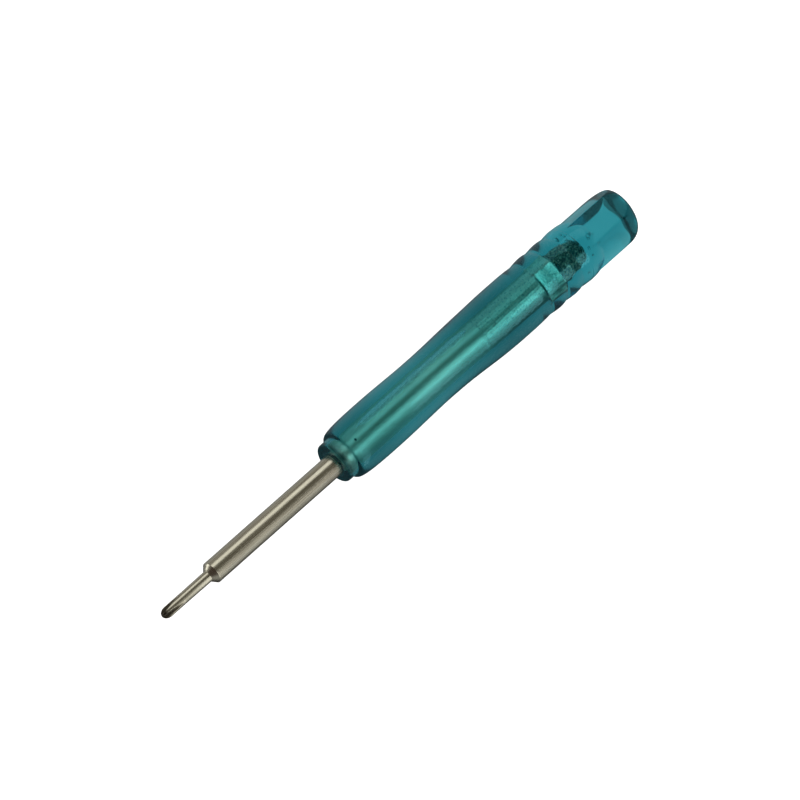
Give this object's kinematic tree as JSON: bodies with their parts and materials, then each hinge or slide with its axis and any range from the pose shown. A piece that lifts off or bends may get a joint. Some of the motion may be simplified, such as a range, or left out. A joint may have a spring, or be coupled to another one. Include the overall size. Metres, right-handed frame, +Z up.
{
  "type": "precision screwdriver",
  "caption": "Small cross-tip precision screwdriver: a stepped steel blade fixed in a slim clear teal plastic handle with a waisted grip, rings and a six-sided butt.",
  "frame": {"origin": "under the middle of the driver's length, at the height of the surface that it lies on", "axes": "+X along the driver's axis towards the tip, +Z up, two of the butt's six flats face up and down"},
  "size_m": [0.085, 0.0084, 0.0084],
  "materials": {
    "steel": "nickel-plated turned steel, satin with fine lengthwise streaks, duller and darker inside the handle",
    "clear_plastic": "clear teal moulded plastic, satin on the grip and glossy on the butt"
  },
  "bodies": {
    "root": {"blade": "steel", "handle": "clear_plastic"}
  },
  "joints": []
}
